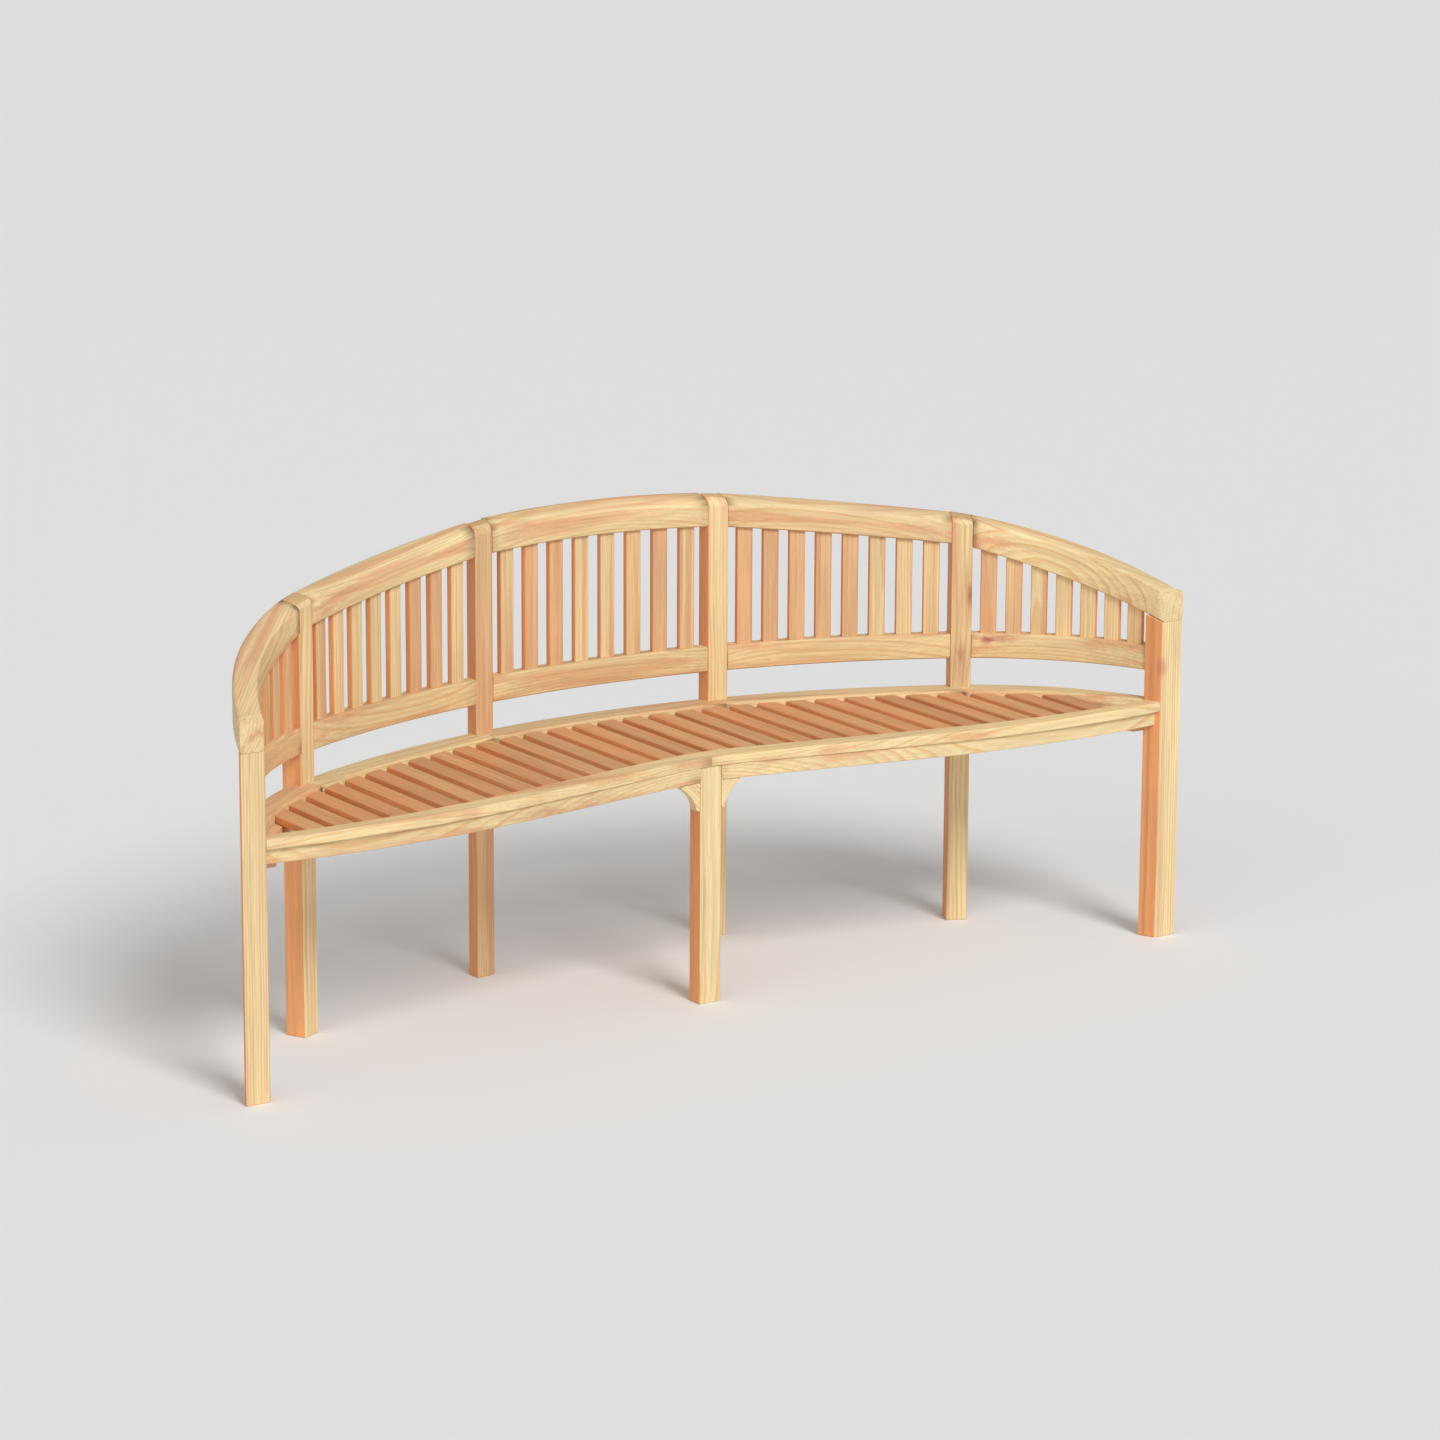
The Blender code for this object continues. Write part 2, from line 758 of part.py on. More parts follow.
def build_back_slats():
    inner_half = 0.5 * INNER_POST_WIDTH
    outer_half = 0.5 * OUTER_POST_WIDTH
    first = INNER_POST_STATION - inner_half
    bays = [("centre", 1.0, back_slat_stations(-first, first, CENTRE_BAY_SLATS))]
    for side, word in SIDES:
        start = INNER_POST_STATION + inner_half
        end = OUTER_POST_STATION - outer_half
        bays.append(("middle_" + word, side, back_slat_stations(start, end, MIDDLE_BAY_SLATS)))
        start = OUTER_POST_STATION + outer_half
        bays.append(("end_" + word, side, back_slat_stations(start, last_station(), END_BAY_SLATS)))
    rail_top = LOWER_RAIL_BOTTOM + LOWER_RAIL_HEIGHT
    for bay, side, stations in bays:
        name = "back_slats_" + bay
        shape = bmesh.new()
        back_slat_blocks(shape, stations, side, 0.0)
        add_piece(name, shape, WOOD, BACK_SLAT_EASE)
        back_fillet(tool_shape(tongues, name), stations[0], stations[-1], side, 0.0, rail_top)
        for rail in ("top_rail_", "lower_rail_"):
            back_slat_blocks(tool_shape(pockets, rail + bay), stations, side, GAP)
        groove = tool_shape(grooves, "lower_rail_" + bay)
        back_fillet(groove, stations[0], stations[-1], side, GAP, rail_top + GROOVE_OPENING)


# Seat

def build_seat_back_rails():
    """Five curved pieces that meet in front of the posts and are notched round them."""
    inner = inner_post()
    outer = outer_post()
    half_gap = inner.run * (0.5 * GAP)
    inner_split = ((inner.front - half_gap, inner.back), (inner.front + half_gap, inner.back))
    half_gap = outer.run * (0.5 * GAP)
    outer_split = ((outer.front - half_gap, outer.back), (outer.front + half_gap, outer.back))
    end = (Vector((0.0, END_POST_DEPTH + GAP)), ALONG_X)
    low = SEAT_TOP - BACK_RAIL_HEIGHT - TENON_ROOT
    high = SEAT_TOP + TENON_ROOT
    name = "seat_back_rail_centre"
    member(
        name, back_track, seat_back_rail_section, mirrored(inner_split[0]), inner_split[0],
        (-INNER_POST_STATION, INNER_POST_STATION), STATION_LENGTH, 1.0, WARM_WOOD,
    )
    for side, _ in SIDES:
        prism(tool_shape(pockets, name), inner.plan(GAP), low, high, side)
    for side, word in SIDES:
        name = "seat_back_rail_middle_" + word
        member(
            name, back_track, seat_back_rail_section, inner_split[1], outer_split[0],
            (INNER_POST_STATION, OUTER_POST_STATION), STATION_LENGTH, side, WARM_WOOD,
        )
        prism(tool_shape(pockets, name), inner.plan(GAP), low, high, side)
        prism(tool_shape(pockets, name), outer.plan(GAP), low, high, side)
        name = "seat_back_rail_end_" + word
        member(
            name, back_track, seat_back_rail_section, outer_split[1], end,
            (OUTER_POST_STATION, last_station()), END_STATION_LENGTH, side, WARM_WOOD,
        )
        prism(tool_shape(pockets, name), outer.plan(GAP), low, high, side)


def build_seat_front():
    """The front board in two halves, and the two rails under it."""
    leg = centre_leg()
    post = end_post()
    middle = (Vector((0.5 * GAP, 0.0)), ALONG_Y)
    span = (0.0, END_POST_X - 0.5 * END_POST_WIDTH)
    low = board_underside() - GAP - 0.5 * (FRONT_RAIL_HEIGHT + FRONT_TENON_HEIGHT)
    high = low + FRONT_TENON_HEIGHT
    for side, word in SIDES:
        member(
            "seat_front_board_" + word, front_track, seat_board_section, middle, post.plane(-1),
            span, STATION_LENGTH, side, PALE_WOOD,
        )
        name = "seat_front_rail_" + word
        member(
            name, front_track, front_rail_section, leg.plane(1), post.plane(-1),
            span, STATION_LENGTH, side, PALE_WOOD,
        )
        side_tenon(name, "front_leg_centre", leg, 1, low, high, side)
        x = span[1]
        depth = front_edge(x)[0] + 0.5 * (FRONT_RAIL_END_SETBACK + board_width(x))
        side_tenon(name, "end_post_" + word, post, -1, low, high, side, depth / math.cos(END_POST_LEAN))


def seat_slat_plan(centre):
    """Outline of a seat slat, whose ends follow the front board and the back rail."""
    front = []
    back = []
    for step in range(SLAT_END_STEPS + 1):
        x = centre + SEAT_SLAT_WIDTH * (step / SLAT_END_STEPS - 0.5)
        plane = (Vector((x, 0.0)), ALONG_Y)
        station = meet(front_track, board_width, plane, x - SEAT_SLAT_PITCH, x + SEAT_SLAT_PITCH)
        front.append(Vector((x, front_track(station, board_width(station)).y + GAP)))
        station = back_station(x)
        clearance = GAP / math.cos(back_turn(station))
        back.append(Vector((x, back_track(station, back_rail_face(station)).y - clearance)))
    return front + back[::-1]


def seat_slat_length(index):
    """Length of a seat slat along its outer side."""
    plan = seat_slat_plan(index * SEAT_SLAT_PITCH)
    return plan[SLAT_END_STEPS + 1].y - plan[SLAT_END_STEPS].y


@functools.cache
def last_seat_slats():
    """The last slat of the centre, middle and end bays, counted from the middle of the bench."""
    centre = math.floor(inner_post().front.x / SEAT_SLAT_PITCH)
    middle = math.floor(outer_post().front.x / SEAT_SLAT_PITCH)
    end = middle + 1
    while seat_slat_length(end + 1) >= SHORTEST_SEAT_SLAT:
        end += 1
    return centre, middle, end


def seat_fillet_section(station):
    """Section of the fillet that spaces the seat slats on the ledge of the back rail."""
    back = back_rail_face(station) - GAP
    front = back - SEAT_FILLET_WIDTH
    low = board_underside()
    high = low + SEAT_FILLET_THICKNESS
    return [(front, low), (front, high), (back, high), (back, low)]


def build_seat_slats():
    centre, middle, end = last_seat_slats()
    bays = [("centre", 1.0, -centre, centre)]
    for side, word in SIDES:
        bays.append(("middle_" + word, side, centre + 1, middle))
        bays.append(("end_" + word, side, middle + 1, end))
    for bay, side, first, last in bays:
        name = "seat_slats_" + bay
        shape = bmesh.new()
        for index in range(first, last + 1):
            plan = seat_slat_plan(index * SEAT_SLAT_PITCH)
            prism(shape, plan, board_underside(), SEAT_TOP - SEAT_SLAT_DROP, side)
        add_piece(name, shape, WARM_WOOD, SEAT_SLAT_EASE)
        middles = (first * SEAT_SLAT_PITCH, last * SEAT_SLAT_PITCH)
        planes = [(Vector((x, 0.0)), ALONG_Y) for x in middles]
        span = [back_station(x) for x in middles]
        loft(
            tool_shape(tongues, name), back_track, seat_fillet_section, planes[0], planes[1],
            span, END_STATION_LENGTH, side,
        )


def build_bearer():
    """A bearer under the middle slat, from the centre leg to the seat's back rail."""
    leg = centre_leg()
    start = leg.front.y + leg.depth + GAP
    face = back_rail_face(0.0) - BACK_RAIL_LEDGE
    end = back_track(0.5 * BEARER_WIDTH, face).y - GAP
    high = board_underside() - GAP
    low = high - BEARER_HEIGHT
    name = "seat_bearer_centre"
    shape = bmesh.new()
    block(shape, Vector((0.0, 0.5 * (start + end))), ALONG_Y, end - start, BEARER_WIDTH, low, high)
    add_piece(name, shape, WOOD, HIDDEN_EASE)
    tenon_low = low + 0.5 * (BEARER_HEIGHT - BEARER_TENON_HEIGHT)
    tenon_high = tenon_low + BEARER_TENON_HEIGHT
    tenon(
        name, "front_leg_centre", Vector((0.0, start)), -ALONG_Y, BEARER_TENON_WIDTH, tenon_low, tenon_high
    )
    tenon(
        name, "seat_back_rail_centre", Vector((0.0, end)), ALONG_Y, BEARER_TENON_WIDTH, tenon_low, tenon_high
    )


def build_brackets():
    """Brackets under the front rails, on both sides of the centre leg, with a hollowed free edge."""
    leg = centre_leg()
    high = board_underside() - FRONT_RAIL_HEIGHT - 2.0 * GAP
    start = 0.5 * leg.width + GAP
    end = start + BRACKET_WIDTH
    low = high - BRACKET_HEIGHT
    tip = Vector((end, high - BRACKET_TOE))
    slant = Vector((start + BRACKET_TOE, low)) - tip
    inward = Vector((slant.y, -slant.x)).normalized()
    outline = [(start, high), (end, high)]
    for step in range(BRACKET_STEPS + 1):
        share = step / BRACKET_STEPS
        outline.append(tuple(tip + slant * share + inward * (BRACKET_HOLLOW * 4.0 * share * (1.0 - share))))
    outline.append((start, low))
    for side, word in SIDES:
        shape = bmesh.new()
        rings = []
        for y in (leg.front.y, leg.front.y + BRACKET_THICKNESS):
            rings.append([shape.verts.new((side * x, y, z)) for x, z in outline])
        join_rings(shape, rings)
        add_piece("corner_bracket_" + word, shape, PALE_WOOD, HIDDEN_EASE)


def place_on_origin():
    """Moves the whole bench so that the origin is the middle of its footprint."""
    depths = [vertex.co.y for item in pieces.values() for vertex in item.data.vertices]
    bench = bpy.data.objects.new("bench", None)
    bpy.context.scene.collection.objects.link(bench)
    for item in bpy.data.objects:
        if item is not bench:
            item.parent = bench
    bench.location = (0.0, -0.5 * (min(depths) + max(depths)), 0.0)


def main():
    clear_scene()
    build_posts()
    build_back_rails("top_rail", top_rail_section)
    build_back_rails("lower_rail", lower_rail_section)
    join_back_rails("top_rail", lambda station: underside(station) + TOP_TENON_RAISE, TOP_TENON_HEIGHT)
    lower = LOWER_RAIL_BOTTOM + 0.5 * (LOWER_RAIL_HEIGHT - LOWER_TENON_HEIGHT)
    join_back_rails("lower_rail", lambda station: lower, LOWER_TENON_HEIGHT)
    join_end_posts()
    build_back_slats()
    build_seat_back_rails()
    build_seat_front()
    build_seat_slats()
    build_bearer()
    build_brackets()
    apply_tools()
    place_on_origin()


main()
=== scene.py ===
"""Curved garden bench in bare golden hardwood: the looks of its wood, on a pale studio floor."""

import math
import random

import bmesh
import bpy
from bpy.props import FloatProperty, FloatVectorProperty, PointerProperty
from mathutils import Euler, Matrix, Vector


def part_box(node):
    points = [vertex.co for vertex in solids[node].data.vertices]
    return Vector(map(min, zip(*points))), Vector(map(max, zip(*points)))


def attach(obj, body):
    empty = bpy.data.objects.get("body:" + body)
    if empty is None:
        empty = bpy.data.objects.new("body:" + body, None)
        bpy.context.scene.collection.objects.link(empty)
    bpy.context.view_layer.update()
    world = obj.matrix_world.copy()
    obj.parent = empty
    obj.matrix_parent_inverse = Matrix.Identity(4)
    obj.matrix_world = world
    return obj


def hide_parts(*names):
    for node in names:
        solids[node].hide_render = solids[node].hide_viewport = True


bl_info = {
    "name": "Curved Garden Bench",
    "version": (1, 0, 0),
    "blender": (4, 5, 0),
    "location": "3D View > Sidebar > Bench",
    "description": "Dresses the solids of a curved hardwood bench in grained wood",
    "category": "Object",
}

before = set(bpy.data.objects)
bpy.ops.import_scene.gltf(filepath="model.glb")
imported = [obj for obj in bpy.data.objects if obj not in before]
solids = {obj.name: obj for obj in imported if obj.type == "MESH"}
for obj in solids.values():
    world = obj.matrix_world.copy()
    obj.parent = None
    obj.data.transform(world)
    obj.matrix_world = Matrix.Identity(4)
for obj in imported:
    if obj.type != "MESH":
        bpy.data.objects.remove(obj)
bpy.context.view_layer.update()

BODY = "root"

PLACE = "grain_place"
TONE = "board_tone"
END = "end_grain"
# Face attribute for painted shade: the narrow faces get the warm orange of wood in shade
SIDE_SHADE = "painted_side_shade"

# Tolerances for reading, merging and cutting the solids, and the eased edge of a seat slat
HAIR = 0.0002
MERGE_GAP = 0.00002
CUT_GAP = 0.000005
FLAT_ANGLE = math.radians(0.35)
SEAT_SLAT_EASE = 0.002

# How squarely a face or a board looks along an axis, as a cosine
LEVEL = 0.99
SIDEWAYS = 0.9
SAWN_END = 0.80
STEEP = 0.7
UPRIGHT = 0.5

# Where the grain of a board starts along it, and how far its heart lies to each side
GRAIN_START = 40.0
HEART_NEAR = 0.02
HEART_FAR = 0.075
CHORD_SHARE = 12

# Repeats of each pattern in a metre, along the grain and across it
BEND_SCALE = (1.6, 5.0, 5.0)
RIPPLE_SCALE = (9.0, 60.0, 60.0)
KNOT_SCALE = (2.2, 9.0, 9.0)
FIBRE_SCALE = (14.0, 520.0, 520.0)
THREAD_SCALE = (4.0, 150.0, 150.0)
BAND_SCALE = (1.1, 38.0, 38.0)
CLOUD_SCALE = (3.0, 11.0, 11.0)
STREAK_SCALE = (0.9, 46.0, 46.0)
STAIN_SCALE = (70.0, 70.0, 70.0)

# How far the growth rings and the stains wander, in metres
BEND_REACH = (0.0, 0.030, 0.030)
RIPPLE_REACH = (0.0, 0.0022, 0.0022)
STAIN_REACH = (0.010, 0.010, 0.010)
NOISE_MIDDLE = (-0.5, -0.5, -0.5)

# How much of the colour under it each mark covers
RING_COVER = 0.80
WARM_COVER = 0.75
# Painted shade on the narrow faces, as a share of the shade colour
SIDE_SHADE_COVER = 0.85
STREAK_COVER = 0.30
HALO_COVER = 0.60
KNOT_COVER = 0.75
END_COVER = 0.55

# Satin surface of the sanded wood
DULL_FIBRE = 0.62
SMOOTH_FIBRE = 0.44
GLOSS = 0.42
RELIEF_STRENGTH = 0.16
RELIEF_DEPTH = 0.0006

# Floor in metres from its middle, film in millimetres, camera and lamps
FLOOR_REACH = 30.0
FLOOR_ROUGHNESS = 0.9
FILM_WIDTH = 36.0
CAMERA_PLACE = Vector((-4.6925, -7.2823, 2.5490))
CAMERA_AZIMUTH = math.radians(33.492)
CAMERA_PITCH = math.radians(13.342)
CAMERA_ROLL = math.radians(0.295)
KEY_FROM = Vector((-0.05, -0.85, 0.80)).normalized()
FILL_FROM = Vector((-0.80, -0.50, 0.45)).normalized()
KEY_SPREAD = math.radians(22.0)
FILL_SPREAD = math.radians(60.0)
LAMP_DISTANCE = 6.0

# Reddish stains in the wood: the middle of each, its reach along X, Y and Z, and its strength
POST_STAINS = (
    (Vector((0.950, -0.255, 0.526)), (0.014, 0.014, 0.024), 0.45),
    (Vector((0.706, 0.047, 0.527)), (0.009, 0.012, 0.020), 0.30),
    (Vector((0.704, 0.047, 0.500)), (0.020, 0.020, 0.055), 0.28),
)
RAIL_STAINS = (
    (Vector((0.747, 0.021, 0.551)), (0.014, 0.014, 0.008), 0.55),
    (Vector((0.760, 0.012, 0.554)), (0.050, 0.050, 0.009), 0.45),
    (Vector((0.580, 0.115, 0.805)), (0.130, 0.080, 0.016), 0.22),
)

# Seeds that settle which boards are pale and which are warm
POST_SEED = 1970
RAIL_SEED = 3868
FRONT_SEED = 3598
BRACKET_SEED = 2826
BEARER_SEED = 7
BACK_SLAT_SEED = 11
SEAT_SLAT_SEED = 13

ALONG_X = Vector((1.0, 0.0, 0.0))
ALONG_Y = Vector((0.0, 1.0, 0.0))
UP = Vector((0.0, 0.0, 1.0))


class WoodSettings(bpy.types.PropertyGroup):
    """Colours and grain of the hardwood, and the colour of its painted shade."""

    pale: FloatVectorProperty(
        name="Pale wood", description="Colour between the growth rings",
        subtype="COLOR", size=3, default=(0.860, 0.680, 0.370), min=0.0, max=1.0,
    )
    gold: FloatVectorProperty(
        name="Golden wood", description="Colour of the late wood in each growth ring",
        subtype="COLOR", size=3, default=(0.740, 0.450, 0.180), min=0.0, max=1.0,
    )
    warm: FloatVectorProperty(
        name="Warm wood", description="Colour of the pinkish and orange bands",
        subtype="COLOR", size=3, default=(0.740, 0.375, 0.190), min=0.0, max=1.0,
    )
    # Painted shade: the warm orange that the narrow faces and the seat slats take in shade
    side_shade: FloatVectorProperty(
        name="Painted side shade", description="Colour of the painted shade on the narrow faces and the seat slats",
        subtype="COLOR", size=3, default=(0.850, 0.330, 0.110), min=0.0, max=1.0,
    )
    knot: FloatVectorProperty(
        name="Knots", description="Colour of the knots and dark streaks",
        subtype="COLOR", size=3, default=(0.330, 0.110, 0.060), min=0.0, max=1.0,
    )
    stain: FloatVectorProperty(
        name="Stains", description="Colour of the reddish stains beside a few joints",
        subtype="COLOR", size=3, default=(0.500, 0.150, 0.120), min=0.0, max=1.0,
    )
    end: FloatVectorProperty(
        name="End grain", description="Colour that darkens sawn ends",
        subtype="COLOR", size=3, default=(0.480, 0.250, 0.100), min=0.0, max=1.0,
    )
    ring_width: FloatProperty(
        name="Ring width", description="Distance between growth rings",
        default=0.0055, min=0.001, max=0.02, subtype="DISTANCE", unit="LENGTH",
    )


class ShapeSettings(bpy.types.PropertyGroup):
    """How sharply the solids' edges are shaded."""

    sharp_angle: FloatProperty(
        name="Sharp angle", description="Edges that bend by more than this stay sharp",
        default=math.radians(62.0), min=0.0, max=math.pi, subtype="ANGLE", unit="ROTATION",
    )


class StageSettings(bpy.types.PropertyGroup):
    """Floor, light and camera."""

    floor: FloatVectorProperty(
        name="Floor", description="Colour of the floor",
        subtype="COLOR", size=3, default=(0.86, 0.86, 0.86), min=0.0, max=1.0,
    )
    lens: FloatProperty(
        name="Focal length", description="Focal length on a 36 mm film",
        default=122.669, min=10.0, max=500.0, unit="CAMERA",
    )
    key: FloatProperty(
        name="Key light", description="Strength of the main lamp", default=1.95, min=0.0, max=10.0,
    )
    fill: FloatProperty(
        name="Fill light", description="Strength of the second lamp", default=0.60, min=0.0, max=10.0,
    )
    sky: FloatProperty(
        name="Surround", description="Strength of the light from all round", default=0.36, min=0.0, max=3.0,
    )


def settings():
    """The wood's, the shapes' and the stage's settings."""
    scene = bpy.context.scene
    return scene.bench_wood, scene.bench_shape, scene.bench_stage


# Wood

class Nodes:
    """Short calls for laying out a material's nodes."""

    def __init__(self, tree):
        self.tree = tree

    def add(self, kind, **values):
        node = self.tree.nodes.new(kind)
        for name, value in values.items():
            setattr(node, name, value)
        return node

    def join(self, output, socket):
        self.tree.links.new(output, socket)

    def feed(self, socket, value):
        if isinstance(value, bpy.types.NodeSocket):
            self.join(value, socket)
        else:
            socket.default_value = value

    def attribute(self, name):
        return self.add("ShaderNodeAttribute", attribute_name=name)

    def scale(self, vector, factors):
        node = self.add("ShaderNodeVectorMath", operation="MULTIPLY")
        self.feed(node.inputs[0], vector)
        self.feed(node.inputs[1], factors)
        return node.outputs[0]

    def add_vectors(self, first, second):
        node = self.add("ShaderNodeVectorMath", operation="ADD")
        self.feed(node.inputs[0], first)
        self.feed(node.inputs[1], second)
        return node.outputs[0]

    def math(self, operation, first, second=0.5, clamp=False):
        node = self.add("ShaderNodeMath", operation=operation, use_clamp=clamp)
        self.feed(node.inputs[0], first)
        self.feed(node.inputs[1], second)
        return node.outputs[0]

    def noise(self, vector, factors, detail=3.0, roughness=0.5, distortion=0.0):
        node = self.add("ShaderNodeTexNoise")
        self.feed(node.inputs["Vector"], self.scale(vector, factors))
        node.inputs["Scale"].default_value = 1.0
        node.inputs["Detail"].default_value = detail
        node.inputs["Roughness"].default_value = roughness
        node.inputs["Distortion"].default_value = distortion
        return node

    def ramp(self, value, low, high, first=0.0, last=1.0):
        node = self.add("ShaderNodeMapRange", interpolation_type="SMOOTHSTEP")
        self.feed(node.inputs["Value"], value)
        node.inputs["From Min"].default_value = low
        node.inputs["From Max"].default_value = high
        node.inputs["To Min"].default_value = first
        node.inputs["To Max"].default_value = last
        return node.outputs["Result"]

    def mix(self, factor, first, second, blend="MIX"):
        node = self.add("ShaderNodeMix", data_type="RGBA", blend_type=blend)
        self.feed(node.inputs[0], factor)
        self.feed(node.inputs[6], first)
        self.feed(node.inputs[7], second)
        return node.outputs[2]


def growth_rings(nodes, place, ring_width):
    """Share of late wood in rings round a wandering heart, stronger in some rings than in others."""
    bend = nodes.noise(place, BEND_SCALE, detail=2.0).outputs["Color"]
    bend = nodes.add_vectors(bend, NOISE_MIDDLE)
    place = nodes.add_vectors(place, nodes.scale(bend, BEND_REACH))
    ripple = nodes.noise(place, RIPPLE_SCALE, detail=2.0).outputs["Color"]
    ripple = nodes.add_vectors(ripple, NOISE_MIDDLE)
    place = nodes.add_vectors(place, nodes.scale(ripple, RIPPLE_REACH))
    length = nodes.add("ShaderNodeVectorMath", operation="LENGTH")
    nodes.join(nodes.scale(place, (0.0, 1.0, 1.0)), length.inputs[0])
    count = nodes.math("DIVIDE", length.outputs["Value"], ring_width)
    within = nodes.math("FRACT", count)
    number = nodes.math("FLOOR", count)
    rise = nodes.ramp(within, 0.25, 0.88)
    fall = nodes.ramp(within, 0.90, 1.0, 1.0, 0.0)
    late = nodes.math("MULTIPLY", rise, fall)
    variety = nodes.add("ShaderNodeTexWhiteNoise", noise_dimensions="1D")
    nodes.join(number, variety.inputs["W"])
    strength = nodes.ramp(variety.outputs["Value"], 0.0, 1.0, 0.25, 1.0)
    return nodes.math("MULTIPLY", late, strength)


def knots(nodes, place):
    """A few knots, as a dark heart and a wider halo."""
    spots = nodes.add("ShaderNodeTexVoronoi", feature="F1")
    nodes.join(nodes.scale(place, KNOT_SCALE), spots.inputs["Vector"])
    spots.inputs["Scale"].default_value = 1.0
    spots.inputs["Randomness"].default_value = 1.0
    pick = nodes.add("ShaderNodeSeparateColor")
    nodes.join(spots.outputs["Color"], pick.inputs[0])
    chosen = nodes.math("GREATER_THAN", pick.outputs[0], 0.80)
    heart = nodes.ramp(spots.outputs["Distance"], 0.035, 0.085, 1.0, 0.0)
    halo = nodes.ramp(spots.outputs["Distance"], 0.06, 0.22, 1.0, 0.0)
    return nodes.math("MULTIPLY", heart, chosen), nodes.math("MULTIPLY", halo, chosen)


def stains(nodes, spots):
    """How strongly the wood is stained, with soft and uneven edges."""
    place = nodes.add("ShaderNodeTexCoord").outputs["Object"]
    ripple = nodes.noise(place, STAIN_SCALE, detail=2.0).outputs["Color"]
    ripple = nodes.scale(nodes.add_vectors(ripple, NOISE_MIDDLE), STAIN_REACH)
    place = nodes.add_vectors(place, ripple)
    total = 0.0
    for middle, reach, strength in spots:
        away = nodes.add_vectors(place, tuple(-middle))
        away = nodes.scale(away, tuple(1.0 / part for part in reach))
        length = nodes.add("ShaderNodeVectorMath", operation="LENGTH")
        nodes.join(away, length.inputs[0])
        spot = nodes.ramp(length.outputs["Value"], 0.25, 1.25, strength, 0.0)
        total = nodes.math("ADD", total, spot)
    return total


def hardwood(name, lightness=1.0, warmth=0.0, shade_share=0.0, spots=()):
    """Bare golden hardwood. Lightness and warmth set it off from the bench's other timber; the shade share
    mixes it towards the painted shade colour, and the seat slats use all three as painted shade, darker and
    more orange.
    """
    wood = settings()[0]
    material = bpy.data.materials.new(name)
    material.use_nodes = True
    nodes = Nodes(material.node_tree)
    shader = material.node_tree.nodes["Principled BSDF"]
    place = nodes.attribute(PLACE).outputs["Vector"]
    board = nodes.add("ShaderNodeSeparateXYZ")
    nodes.join(nodes.attribute(TONE).outputs["Vector"], board.inputs[0])
    end = nodes.attribute(END).outputs["Fac"]
    side_shade = nodes.attribute(SIDE_SHADE).outputs["Fac"]

    late = growth_rings(nodes, place, wood.ring_width)
    fibre = nodes.noise(place, FIBRE_SCALE, detail=3.0, roughness=0.6).outputs["Fac"]
    thread = nodes.noise(place, THREAD_SCALE, detail=2.0).outputs["Fac"]
    band = nodes.noise(place, BAND_SCALE, detail=2.0, distortion=0.3).outputs["Fac"]
    cloud = nodes.noise(place, CLOUD_SCALE, detail=2.0).outputs["Fac"]
    streak = nodes.noise(place, STREAK_SCALE, detail=2.0, roughness=0.4).outputs["Fac"]
    heart, halo = knots(nodes, place)

    rings = nodes.math("MULTIPLY", late, RING_COVER)
    colour = nodes.mix(rings, (*wood.pale, 1.0), (*wood.gold, 1.0))
    warm_board = nodes.ramp(board.outputs[1], 0.42, 0.85, 0.0, 0.80)
    warm = nodes.math("ADD", nodes.ramp(band, 0.48, 0.68), warm_board)
    warm = nodes.math("ADD", warm, warmth, clamp=True)
    colour = nodes.mix(nodes.math("MULTIPLY", warm, WARM_COVER), colour, (*wood.warm, 1.0))
    # Painted shade: the narrow faces, and the whole of the seat slats, are mixed towards the orange of wood
    # in shade
    painted_shade = nodes.math("MAXIMUM", nodes.math("MULTIPLY", side_shade, SIDE_SHADE_COVER), shade_share)
    colour = nodes.mix(painted_shade, colour, (*wood.side_shade, 1.0))
    dark = nodes.math("MULTIPLY", nodes.ramp(streak, 0.63, 0.78), STREAK_COVER)
    colour = nodes.mix(dark, colour, (*wood.knot, 1.0))
    colour = nodes.mix(nodes.math("MULTIPLY", halo, HALO_COVER), colour, (*wood.warm, 1.0))
    colour = nodes.mix(nodes.math("MULTIPLY", heart, KNOT_COVER), colour, (*wood.knot, 1.0))
    if spots:
        colour = nodes.mix(stains(nodes, spots), colour, (*wood.stain, 1.0))
    fine = nodes.ramp(fibre, 0.30, 0.70, 0.90, 1.05)
    threads = nodes.ramp(thread, 0.30, 0.70, 0.94, 1.04)
    clouds = nodes.ramp(cloud, 0.30, 0.70, 0.93, 1.05)
    level = nodes.math("MULTIPLY", nodes.math("MULTIPLY", fine, threads), clouds)
    tone = nodes.ramp(board.outputs[0], 0.0, 1.0, 0.93 * lightness, 1.04 * lightness)
    level = nodes.math("MULTIPLY", level, tone)
    grey = nodes.add("ShaderNodeCombineColor")
    for socket in grey.inputs[:3]:
        nodes.join(level, socket)
    colour = nodes.mix(1.0, colour, grey.outputs[0], "MULTIPLY")
    colour = nodes.mix(nodes.math("MULTIPLY", end, END_COVER), colour, (*wood.end, 1.0))
    nodes.join(colour, shader.inputs["Base Color"])

    dense = nodes.math("ADD", fibre, nodes.math("MULTIPLY", late, 0.35))
    rough = nodes.ramp(dense, 0.3, 1.0, DULL_FIBRE, SMOOTH_FIBRE)
    nodes.join(rough, shader.inputs["Roughness"])
    relief = nodes.math("SUBTRACT", fibre, nodes.math("MULTIPLY", late, 0.4))
    bump = nodes.add("ShaderNodeBump")
    bump.inputs["Strength"].default_value = RELIEF_STRENGTH
    bump.inputs["Distance"].default_value = RELIEF_DEPTH
    nodes.join(relief, bump.inputs["Height"])
    nodes.join(bump.outputs["Normal"], shader.inputs["Normal"])
    shader.inputs["Specular IOR Level"].default_value = GLOSS
    return material


# Boards cut from the solids

